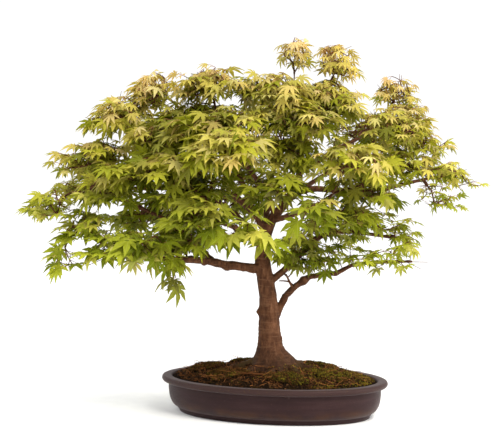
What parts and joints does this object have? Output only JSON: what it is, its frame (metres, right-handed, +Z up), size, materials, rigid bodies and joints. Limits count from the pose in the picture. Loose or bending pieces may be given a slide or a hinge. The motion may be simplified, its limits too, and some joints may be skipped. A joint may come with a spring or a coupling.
{
  "type": "bonsai tree in a pot",
  "caption": "Japanese maple bonsai with layered palmate foliage, a flared and forked trunk and mossy soil in a shallow oval lipped pot.",
  "frame": {"origin": "middle of the whole plant's bounding box, on the surface that the pot's foot stands on", "axes": "+Z up the trunk; +X along the pot's long side, to the right of the tree's front; the front faces about -Y"},
  "size_m": [0.7604, 0.6196, 0.6575],
  "materials": {
    "pot": "matte",
    "drain_mesh": "matte",
    "soil": "matte",
    "moss": "matte",
    "bark": "matte",
    "leaves": "satin"
  },
  "bodies": {
    "root": {"drain_mesh_left": "drain_mesh", "drain_mesh_right": "drain_mesh", "leaves_apex": "leaves", "leaves_apex_right": "leaves", "leaves_back_left": "leaves", "leaves_back_low": "leaves", "leaves_back_middle": "leaves", "leaves_crown_back": "leaves", "leaves_crown_centre": "leaves", "leaves_crown_front": "leaves", "leaves_crown_left": "leaves", "leaves_crown_left_front": "leaves", "leaves_crown_right": "leaves", "leaves_front_centre": "leaves", "leaves_front_left": "leaves", "leaves_front_middle": "leaves", "leaves_front_right": "leaves", "leaves_front_right_upper": "leaves", "leaves_front_upper": "leaves", "leaves_low_left": "leaves", "leaves_low_left_back": "leaves", "leaves_low_left_front": "leaves", "leaves_low_left_hanging": "leaves", "leaves_low_left_outer": "leaves", "leaves_low_left_tip": "leaves", "leaves_low_right_inner": "leaves", "leaves_low_right_outer": "leaves", "leaves_low_right_tip": "leaves", "leaves_lowest_right": "leaves", "leaves_lowest_right_tip": "leaves", "leaves_middle_left": "leaves", "leaves_middle_left_back": "leaves", "leaves_middle_left_inner": "leaves", "leaves_middle_left_tip": "leaves", "leaves_middle_right_back": "leaves", "leaves_middle_right_front": "leaves", "leaves_middle_right_inner": "leaves", "leaves_middle_right_low": "leaves", "leaves_middle_right_tip": "leaves", "leaves_middle_right_under": "leaves", "leaves_peak_left": "leaves", "leaves_shoulder_left": "leaves", "leaves_shoulder_left_front": "leaves", "leaves_shoulder_right": "leaves", "leaves_shoulder_right_outer": "leaves", "leaves_upper_left_back": "leaves", "leaves_upper_left_front": "leaves", "leaves_upper_left_tip": "leaves", "leaves_upper_right": "leaves", "leaves_upper_right_back": "leaves", "leaves_upper_right_outer": "leaves", "moss_back_left": "moss", "moss_back_right": "moss", "moss_front_left": "moss", "moss_front_right": "moss", "moss_left": "moss", "moss_right": "moss", "pot": "pot", "soil": "soil", "trunk_and_branches": "bark"}
  },
  "joints": []
}
